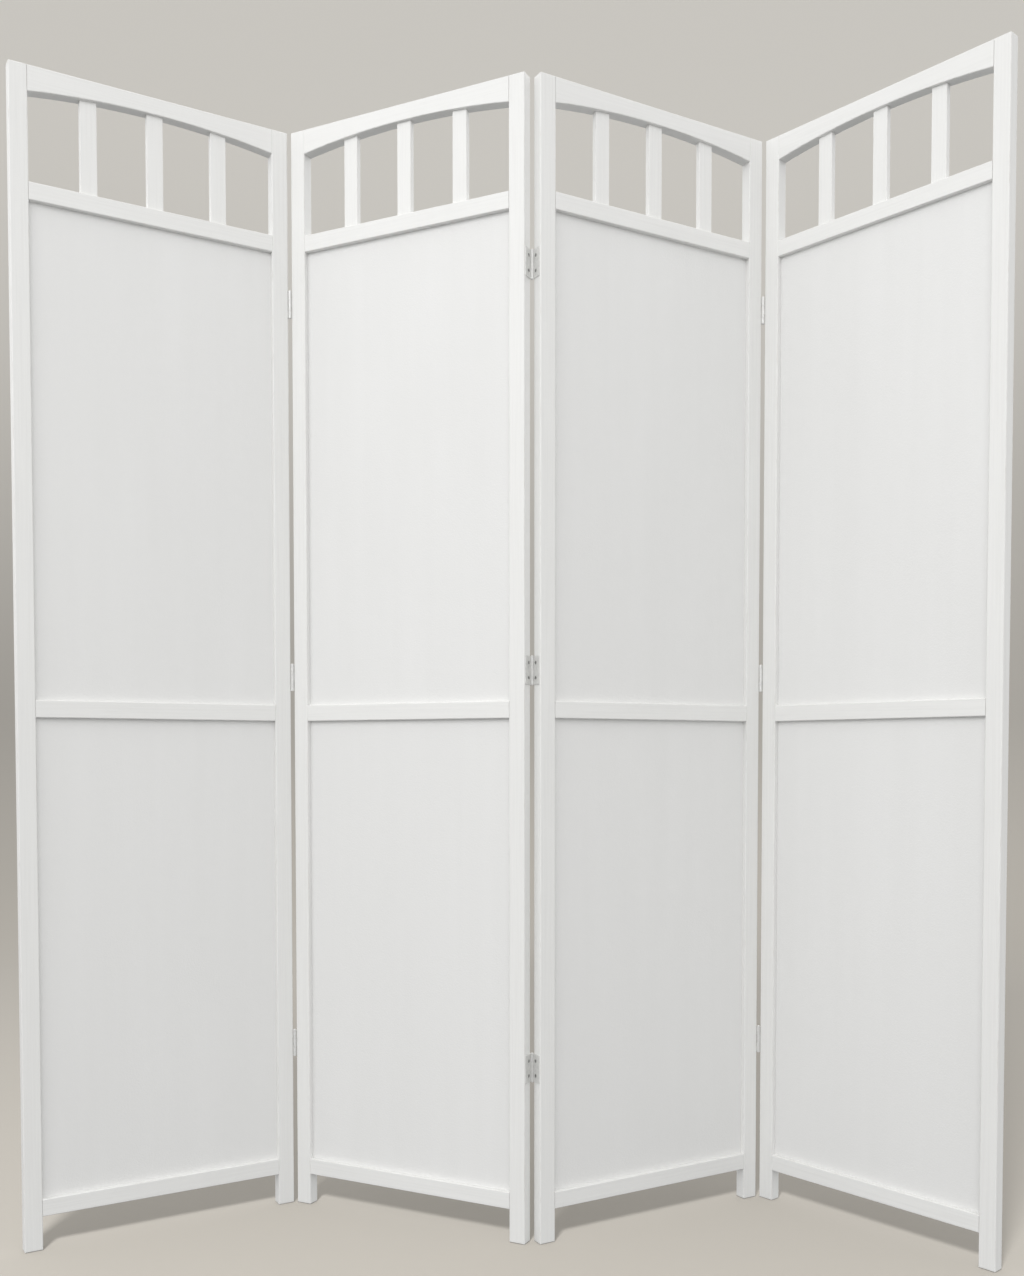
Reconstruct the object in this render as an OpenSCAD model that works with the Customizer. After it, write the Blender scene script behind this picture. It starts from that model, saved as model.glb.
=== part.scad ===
// Folding room divider: four framed panels joined in a zigzag by butt hinges.
// Each panel has two stiles, four rails, three slats under an arched top rail
// and two thin boards that float in grooves. All sizes are in millimetres.

/* [Panel] */
// Height of a panel
panel_h = 1700; // [1500:10:1900]
// Width of a panel
panel_w = 410; // [340:5:500]
// Thickness of the frame, front to back
frame_t = 19; // [17:0.5:26]
// Face width of the stiles
stile_w = 25.5; // [22:0.5:36]
// Face height of the upper, middle and bottom rails
rail_h = 25.5; // [21:0.5:36]
// Rounding of the frame's long edges
edge_r = 1.5; // [0.5:0.25:3]

/* [Rail places] */
// Clear height under the bottom rail
foot_gap = 49; // [20:1:120]
// Height of the middle rail's underside above the floor
mid_rail_z = 777; // [600:1:1000]
// From the panel's top down to the upper rail's top
window_drop = 163; // [120:1:260]
// Face height of the top rail at its middle
crown_h = 24.5; // [20:0.5:36]
// Rise of the arch under the top rail
arch_rise = 13; // [4:0.5:30]

/* [Slats] */
// Face width of a slat
slat_w = 24; // [14:0.5:40]
// Thickness of a slat
slat_t = 9; // [5:0.5:12]
// Depth that a slat's end is housed in each rail
slat_seat = 6; // [3:0.5:9]
// Rounding of the slats' long edges
slat_r = 1; // [0.25:0.25:2]

/* [Boards] */
// Thickness of the thin boards that fill the panel
board_t = 3; // [2:0.5:5]
// Depth of the grooves that hold the boards
groove_d = 7; // [4:0.5:9]

/* [Joinery] */
// Thickness of the rails' stub tenons
tenon_t = 8; // [5:0.5:10]
// Length of the rails' stub tenons
tenon_l = 12; // [8:0.5:18]
// Step from a rail's face edge to its tenon
tenon_step = 5; // [3:0.5:7]
// Clearance round every tenon, slat end and board
joint_gap = 0.1; // [0.05:0.05:0.4]

/* [Hinges] */
// Height of a hinge
hinge_h = 42; // [36:1:70]
// From the pin's centre to the far edge of a leaf
leaf_w = 18; // [13:0.5:18]
// Thickness of a leaf
leaf_t = 1; // [0.8:0.1:1.4]
// Diameter of the hinge pin
pin_d = 2.5; // [2:0.1:4]
// Radial clearance between a pin and the knuckles
pin_gap = 0.05; // [0.03:0.01:0.1]
// From a panel's face out to the pins' centre
pin_off = 1.4; // [0.5:0.1:3]
// Height of the lowest hinge's middle above the floor
hinge_z = 260; // [150:5:400]
// From the panel's top down to the highest hinge's middle
hinge_drop = 266; // [150:1:450]
// Distance between the two screws of a leaf
screw_pitch = 22; // [16:0.5:40]
// From the pin's centre to the screws
screw_y = 8; // [7:0.5:12]
// Diameter of a screw's shank
screw_d = 2.4; // [2:0.1:3.5]
// Diameter of a screw's head
screw_head_d = 5; // [4.4:0.1:6]
// Length of a screw
screw_l = 14; // [8:0.5:18]

/* [Stance] */
// Turn of the first panel from the front line, in degrees
turn_1 = 31; // [0:0.5:80]
// Turn of the second panel, the other way
turn_2 = 26; // [0:0.5:80]
// Turn of the third panel
turn_3 = 30; // [0:0.5:80]
// Turn of the fourth panel, the other way
turn_4 = 48; // [0:0.5:80]

/* [Hidden] */
PANELS = [1, 2, 3, 4];
FOLDS = [1, 2, 3];
FRAME_PARTS = ["left_stile", "right_stile", "top_rail", "upper_rail", "middle_rail", "bottom_rail"];
FILL_PARTS = ["slat_1", "slat_2", "slat_3", "upper_board", "lower_board"];
HINGE_PARTS = ["left_leaves", "right_leaves", "pins", "left_screws", "right_screws"];

paint = [0.93, 0.93, 0.92];
board_paint = [0.9, 0.9, 0.89];
steel = [0.72, 0.72, 0.7];
slack = 1;
facets = 48;
arch_facets = 720;
$fn = facets;

// Rails between the stiles, and the heights of their undersides
rail_span = panel_w - 2 * stile_w;
end_h = crown_h + arch_rise;
top_rail_z = panel_h - end_h;
upper_rail_z = panel_h - window_drop - rail_h;
bottom_rail_z = foot_gap;

// Arch under the top rail: a circle through both shoulders and the crown
arch_r = (pow(rail_span / 2, 2) + pow(arch_rise, 2)) / (2 * arch_rise);
arch_z = panel_h - crown_h - arch_r;

// Slats share the window evenly
slat_count = 3;
slat_step = (rail_span + slat_w) / (slat_count + 1);

// Hinge: the leaves lie on the stiles' edges and their backs run on to the knuckles
knuckle_r = pin_d / 2 + pin_gap + leaf_t;
knuckle_space = 0.2;
knuckle_h = (hinge_h - 2 * knuckle_space) / 3;
notch_space = 0.3;
notch_y = knuckle_r + notch_space;
leaf_corner_r = 1.5;
pin_head_inset = 0.4;
pin_head_r = knuckle_r - pin_head_inset;
pin_head_h = 0.9;
pin_head_ease = 0.4;
screw_head_h = 1.5;
screw_tip_l = 2.5;
screw_tip_r = 0.2;
recess_l = 3;
recess_w = 0.6;
recess_d = 0.7;
hinge_heights = [hinge_z, (hinge_z + panel_h - hinge_drop) / 2, panel_h - hinge_drop];

// Plan of the screen: signed turns, and the pins in front of or behind the faces
turns = [turn_1, -turn_2, turn_3, -turn_4];
pins_behind = [false, true, false];

function turned(v, a) = [v.x * cos(a) - v.y * sin(a), v.x * sin(a) + v.y * cos(a)];
function pin_v(f) = pins_behind[f - 1] ? frame_t + pin_off : -pin_off;
function pin_at_right(f) = [panel_w + knuckle_r, pin_v(f)];
function pin_at_left(f) = [-knuckle_r, pin_v(f)];

// Corner of each panel and each pin line, counted from the middle pin line
start_2 = -turned(pin_at_right(2), turns[1]);
start_3 = -turned(pin_at_left(2), turns[2]);
line_1 = start_2 + turned(pin_at_left(1), turns[1]);
line_3 = start_3 + turned(pin_at_right(3), turns[2]);
start_1 = line_1 - turned(pin_at_right(1), turns[0]);
start_4 = line_3 - turned(pin_at_left(3), turns[3]);
starts = [start_1, start_2, start_3, start_4];
pin_lines = [line_1, [0, 0], line_3];

// The origin is the middle of the footprint's box, on the floor
corner_us = [edge_r, panel_w - edge_r];
corner_vs = [edge_r, frame_t - edge_r];
corners = [
    for (i = [0:len(PANELS) - 1]) for (u = corner_us) for (v = corner_vs)
        starts[i] + turned([u, v], turns[i])
];
lows = [for (c = corners) c - [edge_r, edge_r], for (c = pin_lines) c - [knuckle_r, knuckle_r]];
highs = [for (c = corners) c + [edge_r, edge_r], for (c = pin_lines) c + [knuckle_r, knuckle_r]];
middle = [
    (min([for (c = lows) c.x]) + max([for (c = highs) c.x])) / 2,
    (min([for (c = lows) c.y]) + max([for (c = highs) c.y])) / 2
];

// Stands a panel's own frame (x along it, y into its thickness) in its place
module place_panel(p) {
    at = starts[p - 1] - middle;
    translate([at.x, at.y, 0]) rotate(turns[p - 1]) children();
}

// Rectangle with rounded corners, from arcs that stay true arcs
module eased_rect(w, h, r) {
    translate([r, 0]) square([w - 2 * r, h]);
    translate([0, r]) square([w, h - 2 * r]);
    for (x = [r, w - r]) for (y = [r, h - r]) translate([x, y]) circle(r);
}

// Runs a section drawn in y and z along x
module along_x(length) {
    rotate([90, 0, 90]) linear_extrude(length) children();
}

// Board-sized block with its edges eased all round
module eased_block(w, t, h, r) {
    intersection() {
        linear_extrude(h) eased_rect(w, t, r);
        along_x(w) eased_rect(t, h, r);
        translate([0, t, 0]) rotate([90, 0, 0]) linear_extrude(t) eased_rect(w, h, r);
    }
}

// Space cut in a stile for a rail's tenon, measured inwards from the shoulder
module mortise(z, h) {
    depth = tenon_l + 2 * joint_gap;
    width = tenon_t + 2 * joint_gap;
    height = h - 2 * tenon_step + 2 * joint_gap;
    translate([stile_w - depth, (frame_t - width) / 2, z + tenon_step - joint_gap])
        cube([depth + slack, width, height]);
}

// Groove for a board's edge, measured inwards from the shoulder
module stile_groove() {
    low = bottom_rail_z + rail_h - groove_d;
    high = upper_rail_z + groove_d;
    translate([stile_w - groove_d, board_y() - joint_gap, low])
        cube([groove_d + slack, board_t + 2 * joint_gap, high - low]);
}

function board_y() = (frame_t - board_t) / 2;

// Outline of a countersunk screw about z, grown by a clearance, head at z = 0
module screw_body(gap, tip_l) {
    rotate_extrude() polygon([
        [0, 0],
        [screw_head_d / 2 + gap, 0],
        [screw_d / 2 + gap, screw_head_h],
        [screw_d / 2 + gap, screw_l - tip_l],
        [tip_l > 0 ? screw_tip_r : screw_d / 2 + gap, screw_l + gap],
        [0, screw_l + gap]
    ]);
}

// Puts a screw shape at both screw places of all three hinges of one leaf set,
// in hinge axes: x across the gap, y from the pin into the wood, head outwards
module screw_places() {
    for (h = hinge_heights) for (dz = [-1, 1] * screw_pitch / 2)
        translate([leaf_t - knuckle_r, screw_y, h + dz]) rotate([0, -90, 0]) children();
}

// Hinge axes of the leaves on a panel's right edge, and on its left edge
module on_right_edge(f) {
    at = pin_at_right(f);
    translate([at.x, at.y, 0]) mirror([0, pins_behind[f - 1] ? 1 : 0, 0]) children();
}

module on_left_edge(f) {
    at = pin_at_left(f);
    translate([at.x, at.y, 0]) mirror([0, pins_behind[f - 1] ? 1 : 0, 0]) mirror([1, 0, 0]) children();
}

// Stile with its inner edge at x = stile_w
module plain_stile() {
    difference() {
        eased_block(stile_w, frame_t, panel_h, edge_r);
        mortise(top_rail_z, end_h);
        mortise(upper_rail_z, rail_h);
        mortise(mid_rail_z, rail_h);
        mortise(bottom_rail_z, rail_h);
        stile_groove();
    }
}

module left_stile(p) {
    color(paint) difference() {
        plain_stile();
        if (p > 1) on_left_edge(p - 1) screw_places() screw_body(joint_gap, 0);
    }
}

module right_stile(p) {
    color(paint) difference() {
        translate([panel_w, 0, 0]) mirror([1, 0, 0]) plain_stile();
        if (p < 4) on_right_edge(p) screw_places() screw_body(joint_gap, 0);
    }
}

// Stub tenons that stand out at a rail's two shoulders, rooted a little inside it
module tenons(z, h) {
    for (x = [stile_w - tenon_l, panel_w - stile_w - slack])
        translate([x, (frame_t - tenon_t) / 2, z + tenon_step])
            cube([tenon_l + slack, tenon_t, h - 2 * tenon_step]);
}

module plain_rail(z) {
    translate([stile_w, 0, z]) along_x(rail_span) eased_rect(frame_t, rail_h, edge_r);
    tenons(z, rail_h);
}

// Groove along a rail's edge, from height z upwards
module rail_groove(z) {
    translate([0, board_y() - joint_gap, z])
        cube([panel_w, board_t + 2 * joint_gap, groove_d + slack]);
}

// Middle of slat n, counted from the left
function slat_x(n) = stile_w + n * slat_step - slat_w / 2;
// Underside of the arch at a slat's middle
function arch_at(x) = arch_z + sqrt(pow(arch_r, 2) - pow(x - panel_w / 2, 2));

// Pocket for a slat's end, from height z upwards
module slat_pocket(n, z, h) {
    translate([slat_x(n) - slat_w / 2 - joint_gap, (frame_t - slat_t) / 2 - joint_gap, z])
        cube([slat_w + 2 * joint_gap, slat_t + 2 * joint_gap, h]);
}

// Disc that cuts the arch and leaves its two edges rounded
module arch_cutter() {
    translate([panel_w / 2, 0, arch_z]) rotate([-90, 0, 0]) rotate_extrude($fn = arch_facets) {
        translate([0, -slack]) square([arch_r, frame_t + 2 * slack]);
        for (side = [0, 1]) translate([arch_r, frame_t / 2]) mirror([0, side]) translate([0, -frame_t / 2])
            difference() {
                translate([0, -slack]) square([edge_r, edge_r + slack]);
                translate([edge_r, edge_r]) circle(edge_r, $fn = facets);
            }
    }
}

module top_rail() {
    color(paint) difference() {
        union() {
            difference() {
                translate([stile_w, 0, top_rail_z]) along_x(rail_span) {
                    eased_rect(frame_t, end_h, edge_r);
                    square([frame_t, end_h / 2]);
                }
                arch_cutter();
            }
            tenons(top_rail_z, end_h);
        }
        for (n = [1:slat_count])
            slat_pocket(n, top_rail_z - slack, arch_at(slat_x(n)) + slat_seat - top_rail_z + slack);
    }
}

module upper_rail() {
    color(paint) difference() {
        plain_rail(upper_rail_z);
        rail_groove(upper_rail_z - slack);
        for (n = [1:slat_count]) slat_pocket(n, upper_rail_z + rail_h - slat_seat, slat_seat + slack);
    }
}

module middle_rail() {
    color(paint) difference() {
        plain_rail(mid_rail_z);
        rail_groove(mid_rail_z - slack);
        rail_groove(mid_rail_z + rail_h - groove_d);
    }
}

module bottom_rail() {
    color(paint) difference() {
        plain_rail(bottom_rail_z);
        rail_groove(bottom_rail_z + rail_h - groove_d);
    }
}

// Slat standing in its pocket in the upper rail, free by a gap in the top rail
module slat(n) {
    low = upper_rail_z + rail_h - slat_seat;
    high = arch_at(slat_x(n)) + slat_seat - joint_gap;
    color(paint) translate([slat_x(n) - slat_w / 2, (frame_t - slat_t) / 2, low])
        linear_extrude(high - low) eased_rect(slat_w, slat_t, slat_r);
}

// Board standing in the groove of the rail below, free by a gap above and at the sides
module board(low, high) {
    color(board_paint) translate([stile_w - groove_d + joint_gap, board_y(), low - groove_d])
        cube([rail_span + 2 * (groove_d - joint_gap), board_t, high - low + 2 * groove_d - joint_gap]);
}

module upper_board() {
    board(mid_rail_z + rail_h, upper_rail_z);
}

module lower_board() {
    board(bottom_rail_z + rail_h, mid_rail_z);
}

// Section of a knuckle: a rolled ring that runs into the leaf's plate
module knuckle_section() {
    difference() {
        union() {
            circle(knuckle_r);
            translate([-knuckle_r, 0]) square([leaf_t, notch_y + slack]);
        }
        circle(pin_d / 2 + pin_gap);
    }
}

// Plate of a leaf clear of the knuckles, its far corners rounded
module leaf_plate() {
    translate([-knuckle_r, 0, -hinge_h / 2]) along_x(leaf_t) {
        translate([notch_y, 0]) square([leaf_w - notch_y - leaf_corner_r, hinge_h]);
        translate([notch_y, leaf_corner_r]) square([leaf_w - notch_y, hinge_h - 2 * leaf_corner_r]);
        for (z = [leaf_corner_r, hinge_h - leaf_corner_r])
            translate([leaf_w - leaf_corner_r, z]) circle(leaf_corner_r);
    }
}

// Leaves of one side of a fold; rows says which of the three knuckles are theirs
module leaves(rows) {
    color(steel) difference() {
        for (h = hinge_heights) translate([0, 0, h]) {
            leaf_plate();
            for (k = rows) translate([0, 0, k * (knuckle_h + knuckle_space) - knuckle_h / 2])
                linear_extrude(knuckle_h) knuckle_section();
        }
        screw_places() screw_body(joint_gap, 0);
    }
}

// Pins with a small turned head at each end
module pins() {
    end_z = hinge_h / 2 + pin_head_h;
    color(steel) for (h = hinge_heights) translate([0, 0, h]) rotate_extrude() polygon([
        [0, -end_z],
        [pin_head_r - pin_head_ease, -end_z],
        [pin_head_r, pin_head_ease - end_z],
        [pin_head_r, -hinge_h / 2],
        [pin_d / 2, -hinge_h / 2],
        [pin_d / 2, hinge_h / 2],
        [pin_head_r, hinge_h / 2],
        [pin_head_r, end_z - pin_head_ease],
        [pin_head_r - pin_head_ease, end_z],
        [0, end_z]
    ]);
}

// Countersunk screws with a crossed recess
module screws() {
    color(steel) screw_places() difference() {
        screw_body(0, screw_tip_l);
        for (a = [0, 90]) rotate(a) translate([-recess_l / 2, -recess_w / 2, -slack])
            cube([recess_l, recess_w, recess_d + slack]);
    }
}

for (p = PANELS) {
    place_panel(p) left_stile(p);
    place_panel(p) right_stile(p);
    place_panel(p) top_rail();
    place_panel(p) upper_rail();
    place_panel(p) middle_rail();
    place_panel(p) bottom_rail();
    place_panel(p) slat(1);
    place_panel(p) slat(2);
    place_panel(p) slat(3);
    place_panel(p) upper_board();
    place_panel(p) lower_board();
}
for (f = FOLDS) {
    name = str("hinge_", f, f + 1, "_");
    place_panel(f) on_right_edge(f) leaves([-1, 1]);
    place_panel(f + 1) on_left_edge(f) leaves([0]);
    place_panel(f) on_right_edge(f) pins();
    place_panel(f) on_right_edge(f) screws();
    place_panel(f + 1) on_left_edge(f) screws();
}
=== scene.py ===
import math

import bmesh
import bpy
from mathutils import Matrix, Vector


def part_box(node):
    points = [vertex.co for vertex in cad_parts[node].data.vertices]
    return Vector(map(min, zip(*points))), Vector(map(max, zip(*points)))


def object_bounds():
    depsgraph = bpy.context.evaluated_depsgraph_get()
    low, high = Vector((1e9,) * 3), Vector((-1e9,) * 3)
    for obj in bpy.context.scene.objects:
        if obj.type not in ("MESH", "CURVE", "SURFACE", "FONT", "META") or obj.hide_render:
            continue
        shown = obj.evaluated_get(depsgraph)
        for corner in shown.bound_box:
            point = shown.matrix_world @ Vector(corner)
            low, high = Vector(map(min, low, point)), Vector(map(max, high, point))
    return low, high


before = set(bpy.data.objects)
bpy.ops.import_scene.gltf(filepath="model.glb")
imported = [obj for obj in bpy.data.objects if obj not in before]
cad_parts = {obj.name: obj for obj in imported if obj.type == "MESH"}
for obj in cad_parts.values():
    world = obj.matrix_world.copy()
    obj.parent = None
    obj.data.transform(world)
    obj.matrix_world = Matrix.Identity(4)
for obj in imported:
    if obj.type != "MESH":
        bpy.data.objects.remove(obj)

cadLow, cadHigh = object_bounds()
print("frame loaded,", len(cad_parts), "pieces")


# camera: eye height of a person crouching in front of the screen
view = {
    "place": (0.0399, -1.8888, 0.7217),
    "tiltDown": 2.02,  # degrees
    "lens": 35.38,
    "sensor": 36,
    "shift": (-0.0143, 0.1271),
}

cameraData = bpy.data.cameras.new("camera")
cameraData.sensor_width = view["sensor"]
cameraData.lens = view["lens"]
cameraData.shift_x, cameraData.shift_y = view["shift"]
camera = bpy.data.objects.new("camera", cameraData)
camera.location = view["place"]
camera.rotation_euler = (math.radians(90 - view["tiltDown"]), 0, 0)
bpy.context.scene.collection.objects.link(camera)
bpy.context.scene.camera = camera
print("camera set")


# how far apart the nodes stand in the node editor
nodeGrid = {"across": 220, "down": 320}


def addNode(tree, kind, column, row):
    node = tree.nodes.new("ShaderNode" + kind)
    node.location = (column * nodeGrid["across"], -row * nodeGrid["down"])
    return node


def startMaterial(name, **values):
    mat = bpy.data.materials.new(name)
    mat.use_nodes = True
    tree = mat.node_tree
    tree.nodes.clear()
    shader = addNode(tree, "BsdfPrincipled", 9, 0)
    out = addNode(tree, "OutputMaterial", 11, 0)
    tree.links.new(shader.outputs["BSDF"], out.inputs["Surface"])
    for key, value in values.items():
        shader.inputs[key].default_value = value
    return mat, tree, shader


def turnedBack(tree, turn, row, output="Object"):
    # x along the panel, y through it, z up
    coords = addNode(tree, "TexCoord", 0, row)
    back = addNode(tree, "Mapping", 1, row)
    back.inputs["Rotation"].default_value = (0, 0, -turn)
    tree.links.new(coords.outputs[output], back.inputs["Vector"])
    return back.outputs["Vector"]


def noiseAt(tree, vector, pattern, row):
    # perMetre is how many times the pattern repeats in a metre, each way
    scaled = addNode(tree, "Mapping", 2, row)
    scaled.inputs["Scale"].default_value = pattern["perMetre"]
    noise = addNode(tree, "TexNoise", 3, row)
    noise.inputs["Scale"].default_value = 1
    noise.inputs["Detail"].default_value = pattern["detail"]
    noise.inputs["Roughness"].default_value = pattern["rough"]
    tree.links.new(vector, scaled.inputs["Vector"])
    tree.links.new(scaled.outputs["Vector"], noise.inputs["Vector"])
    return noise.outputs["Fac"]


def spread(tree, value, limits, row):
    # limits are the value's low and high end, and what each of them becomes
    stretch = addNode(tree, "MapRange", 4, row)
    for key, limit in zip(("From Min", "From Max", "To Min", "To Max"), limits):
        stretch.inputs[key].default_value = limit
    tree.links.new(value, stretch.inputs["Value"])
    return stretch.outputs["Result"]


def joined(tree, operation, first, second, column, row):
    node = addNode(tree, "Math", column, row)
    node.operation = operation
    tree.links.new(first, node.inputs[0])
    tree.links.new(second, node.inputs[1])
    return node.outputs[0]


def mixed(tree, factor, first, second, column, row):
    mix = addNode(tree, "Mix", column, row)
    mix.data_type = "RGBA"
    tree.links.new(factor, mix.inputs["Factor"])
    # of a colour mix, sockets 6 and 7 are the two colours and output 2 is the result
    for socket, colour in ((mix.inputs[6], first), (mix.inputs[7], second)):
        if isinstance(colour, tuple):
            socket.default_value = colour + (1,)
        else:
            tree.links.new(colour, socket)
    return mix.outputs[2]


def bumped(tree, shader, layers):
    # layers are a height and its (strength, depth in metres), the coarsest first
    normal = None
    for i, (height, (strength, depth)) in enumerate(layers):
        bump = addNode(tree, "Bump", 6 + i, 2)
        bump.inputs["Strength"].default_value = strength
        bump.inputs["Distance"].default_value = depth
        tree.links.new(height, bump.inputs["Height"])
        if normal is not None:
            tree.links.new(normal, bump.inputs["Normal"])
        normal = bump.outputs["Normal"]
    tree.links.new(normal, shader.inputs["Normal"])


# white satin paint over softwood: faint grain and brush marks along each piece
# each spread is the low and high end of a pattern, and what each of them becomes
framePaint = {
    "colour": (0.816, 0.816, 0.802),
    "streakColour": (0.78, 0.779, 0.765),
    "handledColour": (0.66, 0.64, 0.605),
    "grain": {"every": 0.0026, "length": 0.14, "detail": 4, "rough": 0.55},  # metres across and along
    "brush": {"every": 0.0009, "length": 0.06, "detail": 2, "rough": 0.5},
    "patches": {"perMetre": (9, 9, 5), "detail": 3, "rough": 0.5},
    "wear": {"perMetre": (60, 60, 25), "detail": 5, "rough": 0.65},
    "streakSpread": (0.42, 0.7, 0, 0.9),
    "patchSpread": (0.35, 0.7, 0, 0.35),
    "wearSpread": (0.5, 0.66, 0, 0.7),
    "edgeSpread": (0.98, 0.8, 0, 1),
    "glossSpread": (0.3, 0.7, 0.36, 0.5),
    "grainBump": (0.5, 0.00024),
    "brushBump": (0.6, 0.0001),
}


def alongPiece(marks, upright):
    across, along = 1 / marks["every"], 1 / marks["length"]
    return {**marks, "perMetre": (across, across, along) if upright else (along, across, across)}


def roundedEdges(tree, turn, row):
    # rounded edges are where the normal points along none of the panel's axes
    facing = addNode(tree, "VectorMath", 2, row)
    facing.operation = "ABSOLUTE"
    tree.links.new(turnedBack(tree, turn, row, "Normal"), facing.inputs[0])
    axes = addNode(tree, "SeparateXYZ", 3, row)
    tree.links.new(facing.outputs[0], axes.inputs[0])
    most = joined(tree, "MAXIMUM", axes.outputs["X"], axes.outputs["Y"], 3, row + 1)
    most = joined(tree, "MAXIMUM", most, axes.outputs["Z"], 4, row + 1)
    return spread(tree, most, framePaint["edgeSpread"], row)


def framePaintFor(panel, turn, upright):
    p = framePaint
    mat, tree, shader = startMaterial("frame paint %s %s" % (panel, "upright" if upright else "across"))
    at = turnedBack(tree, turn, 0)
    streaks = noiseAt(tree, at, alongPiece(p["grain"], upright), 0)
    brushMarks = noiseAt(tree, at, alongPiece(p["brush"], upright), 1)
    patches = noiseAt(tree, at, p["patches"], 2)
    worn = noiseAt(tree, at, p["wear"], 3)
    rub = spread(tree, worn, p["wearSpread"], 3)
    edgeRub = joined(tree, "MULTIPLY", roundedEdges(tree, turn, 5), rub, 5, 4)

    base = mixed(tree, spread(tree, streaks, p["streakSpread"], 0), p["colour"], p["streakColour"], 5, 0)
    toned = mixed(tree, spread(tree, patches, p["patchSpread"], 2), base, p["streakColour"], 6, 0)
    final = mixed(tree, edgeRub, toned, p["handledColour"], 7, 0)
    tree.links.new(final, shader.inputs["Base Color"])
    tree.links.new(spread(tree, worn, p["glossSpread"], 4), shader.inputs["Roughness"])
    bumped(tree, shader, [(streaks, p["grainBump"]), (brushMarks, p["brushBump"])])
    return mat


# the thin boards: the same white, rolled on, so matt with a fine dimpled skin
boardPaint = {
    "colour": (0.79, 0.79, 0.782),
    "patchColour": (0.762, 0.762, 0.752),
    "dimpleEvery": 0.0026,
    "dimples": {"detail": 3, "rough": 0.6},
    "rolled": {"perMetre": (28, 28, 1.6), "detail": 3, "rough": 0.5},
    "patches": {"perMetre": (4, 4, 3), "detail": 4, "rough": 0.55},
    "rolledSpread": (0.3, 0.7, 0, 0.6),
    "patchSpread": (0.35, 0.7, 0, 0.5),
    "glossSpread": (0.3, 0.7, 0.42, 0.54),
    "waveBump": (0.25, 0.0008),
    "dimpleBump": (0.6, 0.0004),
}


def boardPaintFor(panel, turn):
    p = boardPaint
    mat, tree, shader = startMaterial("board paint " + panel)
    at = turnedBack(tree, turn, 0)
    dimples = noiseAt(tree, at, {**p["dimples"], "perMetre": (1 / p["dimpleEvery"],) * 3}, 0)
    rolled = noiseAt(tree, at, p["rolled"], 1)
    patches = noiseAt(tree, at, p["patches"], 2)
    base = mixed(tree, spread(tree, rolled, p["rolledSpread"], 1), p["colour"], p["patchColour"], 5, 0)
    toned = mixed(tree, spread(tree, patches, p["patchSpread"], 2), base, p["patchColour"], 6, 0)
    tree.links.new(toned, shader.inputs["Base Color"])
    tree.links.new(spread(tree, patches, p["glossSpread"], 3), shader.inputs["Roughness"])
    bumped(tree, shader, [(patches, p["waveBump"]), (dimples, p["dimpleBump"])])
    return mat


# plated steel of the leaves and pins, with fine marks from rolling
hingeSteel = {
    "metal": 0.5,
    "colour": (0.78, 0.78, 0.766),
    "dullColour": (0.675, 0.675, 0.662),
    "lines": {"perMetre": (2600, 2600, 60), "detail": 3, "rough": 0.6},
    "cloud": {"perMetre": (260, 260, 200), "detail": 4, "rough": 0.6},
    "cloudSpread": (0.4, 0.75, 0, 1),
    "glossSpread": (0.3, 0.7, 0.46, 0.64),
    "lineBump": (0.5, 0.00003),
}

# screws are a little darker than the leaves
screwSteel = {
    "metal": 0.8,
    "colour": (0.40, 0.40, 0.39),
    "dullColour": (0.27, 0.27, 0.26),
    "cloud": {"perMetre": (700, 700, 700), "detail": 4, "rough": 0.6},
    "cloudSpread": (0.4, 0.7, 0, 1),
    "glossSpread": (0.3, 0.7, 0.36, 0.55),
    "cloudBump": (0.4, 0.00003),
}


def steelFor(name, p):
    mat, tree, shader = startMaterial(name, Metallic=p["metal"])
    at = turnedBack(tree, 0, 0)
    cloud = noiseAt(tree, at, p["cloud"], 0)
    tone = mixed(tree, spread(tree, cloud, p["cloudSpread"], 0), p["colour"], p["dullColour"], 5, 0)
    tree.links.new(tone, shader.inputs["Base Color"])
    tree.links.new(spread(tree, cloud, p["glossSpread"], 1), shader.inputs["Roughness"])
    if "lines" in p:
        bumped(tree, shader, [(noiseAt(tree, at, p["lines"], 2), p["lineBump"])])
    else:
        bumped(tree, shader, [(cloud, p["cloudBump"])])
    return mat


def turnOf(panel):
    # angle from the front line, from the middle of its left stile to that of its right one
    middles = []
    for side in ("left", "right"):
        low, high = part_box("%s_%s_stile" % (panel, side))
        middles.append((low + high) / 2)
    along = middles[1] - middles[0]
    return math.atan2(along.y, along.x)


def putOn(piece, mat):
    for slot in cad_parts[piece].material_slots:
        slot.material = mat


for panel in ("panel_1", "panel_2", "panel_3", "panel_4"):
    turn = turnOf(panel)
    upright = framePaintFor(panel, turn, True)
    across = framePaintFor(panel, turn, False)
    onBoard = boardPaintFor(panel, turn)
    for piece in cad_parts:
        if piece.startswith(panel):
            if "board" in piece:
                putOn(piece, onBoard)
            elif "rail" in piece:
                putOn(piece, across)
            else:
                putOn(piece, upright)

onHinges = steelFor("hinge steel", hingeSteel)
onScrews = steelFor("screw steel", screwSteel)
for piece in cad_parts:
    if piece.startswith("hinge"):
        putOn(piece, onScrews if "screws" in piece else onHinges)
print("paint and steel on every piece")


# plain round studio: a pale floor that bends up into a wall, with painted shade low down and pale above
studio = {
    "pale": (0.835, 0.808, 0.755),
    # the darker, warmer colour below is painted shade for the floor and the low wall
    "paintedShade": (0.31, 0.288, 0.255),
    "rough": 0.9,
    "underFeet": 0.0005,
    "floorRadius": 2.9,
    "bendRadius": 0.9,
    "wallTop": 9.0,
    # metres out along the floor and up the wall, and how pale it is there; low paleness on the floor and
    # low wall is painted shade, and the pool lamp lights the floor round the screen
    "paleness": [(0, 0.07), (3.2, 0.1), (6.9, 1), (20, 1)],
    # rings on the floor, in the bend and up the wall, and steps round
    "floorRings": 24,
    "bendRings": 16,
    "wallRings": 40,
    "roundSteps": 96,
    "mergeWithin": 0.0001,
}


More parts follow.
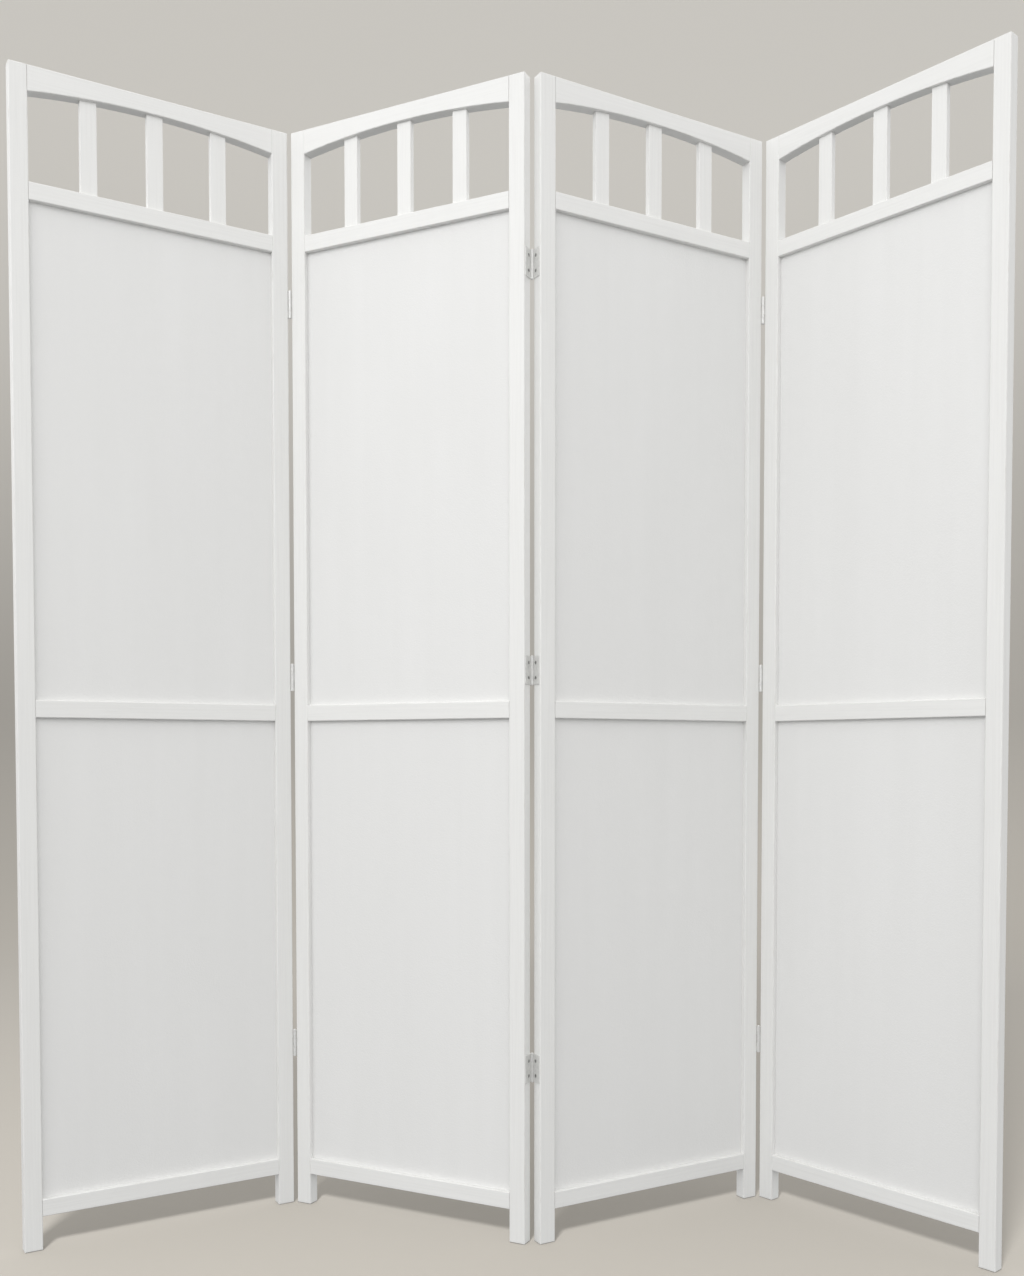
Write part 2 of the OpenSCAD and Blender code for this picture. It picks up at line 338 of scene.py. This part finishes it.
def studioMaterial():
    mat, tree, shader = startMaterial("studio paint", Roughness=studio["rough"])
    # the paleness attribute mixes the painted shade low down with the pale colour above
    paleness = addNode(tree, "Attribute", 4, 0)
    paleness.attribute_name = "paleness"
    tone = mixed(tree, paleness.outputs["Fac"], studio["paintedShade"], studio["pale"], 5, 0)
    tree.links.new(tone, shader.inputs["Base Color"])
    return mat


def palenessAt(along):
    stops = studio["paleness"]
    for (start, low), (end, high) in zip(stops, stops[1:]):
        if along <= end:
            t = (along - start) / (end - start)
            return low + (high - low) * t * t * (3 - 2 * t)
    return stops[-1][1]


def studioProfile(floorZ):
    # points are (distance from the middle, height), out along the floor and up the wall
    flat, bend = studio["floorRadius"], studio["bendRadius"]
    floorRings, bendRings, wallRings = studio["floorRings"], studio["bendRings"], studio["wallRings"]
    points = [(flat * i / floorRings, floorZ) for i in range(floorRings)]
    for i in range(bendRings + 1):
        a = math.pi / 2 * i / bendRings
        points.append((flat + bend * math.sin(a), floorZ + bend * (1 - math.cos(a))))
    wallAt, bendTop = points[-1]
    rise = (studio["wallTop"] - bendTop) / wallRings
    points += [(wallAt, bendTop + rise * i) for i in range(1, wallRings + 1)]
    return points


def roundStudio(floorZ):
    bm = bmesh.new()
    paleness = bm.verts.layers.float.new("paleness")
    verts = []
    along = 0
    last = (0, floorZ)
    for point in studioProfile(floorZ):
        along += math.dist(point, last)
        last = point
        vert = bm.verts.new((point[0], 0, point[1]))
        vert[paleness] = palenessAt(along)
        verts.append(vert)
    edges = [bm.edges.new(pair) for pair in zip(verts, verts[1:])]
    bmesh.ops.spin(
        bm, geom=verts + edges, cent=(0, 0, 0), axis=(0, 0, 1),
        angle=math.tau, steps=studio["roundSteps"], use_merge=True,
    )
    # the spin leaves a ring of points in the middle
    bmesh.ops.remove_doubles(bm, verts=bm.verts, dist=studio["mergeWithin"])
    bmesh.ops.recalc_face_normals(bm, faces=bm.faces)
    for face in bm.faces:
        face.smooth = True
    mesh = bpy.data.meshes.new("studio")
    bm.to_mesh(mesh)
    bm.free()
    mesh.materials.append(studioMaterial())
    part = bpy.data.objects.new("studio", mesh)
    bpy.context.scene.collection.objects.link(part)
    # the room light passes it, so it only shows and takes shadows
    part.visible_shadow = False
    part.visible_diffuse = False
    part.visible_glossy = False
    return part


studioPart = roundStudio(cadLow.z - studio["underFeet"])
print("studio made")


def studioGroup(name, state):
    group = bpy.data.collections.new(name)
    group.objects.link(studioPart)
    group.collection_objects[0].light_linking.link_state = state
    return group


def hang(data, lamp, shinesOn):
    data.energy = lamp["power"]
    item = bpy.data.objects.new(data.name, data)
    item.location = lamp["place"]
    item.rotation_mode = "QUATERNION"
    item.rotation_quaternion = (Vector(lamp["aim"]) - Vector(lamp["place"])).to_track_quat("-Z", "Y")
    item.visible_camera = False
    item.light_linking.receiver_collection = shinesOn
    bpy.context.scene.collection.objects.link(item)


# big soft lamps high on the left, in front and behind
lamps = {
    "key": {"place": (-2.8, -2.7, 3.0), "aim": (0, 0, 0.9), "size": 2.6, "power": 33},
    "left": {"place": (-3.4, -1.2, 2.2), "aim": (0, 0, 1.0), "size": 2.2, "power": 9},
    "front": {"place": (0, -3.4, 2.6), "aim": (0, 0, 0.9), "size": 3.0, "power": 35},
    "back": {"place": (1.6, 3.2, 2.8), "aim": (0, 0, 0.9), "size": 3.0, "power": 28},
}

# they leave the studio alone, so none draws its edge on the wall
allButStudio = studioGroup("left alone by the soft lamps", "EXCLUDE")
for name, lamp in lamps.items():
    data = bpy.data.lights.new(name, "AREA")
    data.shape = "SQUARE"
    data.size = lamp["size"]
    hang(data, lamp, allButStudio)

# one more lamp shines on the studio alone, a pool of light in which the screen throws a soft shadow
poolLamp = {"place": (-0.9, -3.5, 3.7), "aim": (0, 0, 0), "radius": 0.45, "cone": 66, "power": 1050}

poolData = bpy.data.lights.new("pool", "SPOT")
poolData.shadow_soft_size = poolLamp["radius"]
poolData.spot_size = math.radians(poolLamp["cone"])
poolData.spot_blend = 1
hang(poolData, poolLamp, studioGroup("lit by the pool lamp", "INCLUDE"))


# bright air all round that is darker low down; horizon is where it changes, as height over distance
sky = {"colour": (1.0, 0.998, 0.992), "above": 1.02, "below": 0.335, "horizon": (-0.25, 0.2)}

world = bpy.data.worlds.new("studio air")
world.use_nodes = True
air = world.node_tree
way = addNode(air, "TexCoord", -4, 0)
axes = addNode(air, "SeparateXYZ", -3, 0)
air.links.new(way.outputs["Generated"], axes.inputs[0])
brightness = addNode(air, "MapRange", -2, 0)
brightness.interpolation_type = "SMOOTHSTEP"
brightness.inputs["From Min"].default_value = sky["horizon"][0]
brightness.inputs["From Max"].default_value = sky["horizon"][1]
brightness.inputs["To Min"].default_value = sky["below"]
brightness.inputs["To Max"].default_value = sky["above"]
air.links.new(axes.outputs["Z"], brightness.inputs["Value"])
background = air.nodes["Background"]
air.links.new(brightness.outputs["Result"], background.inputs["Strength"])
background.inputs["Color"].default_value = sky["colour"] + (1,)
bpy.context.scene.world = world
bpy.context.scene.view_settings.view_transform = "Standard"
print("lights on")
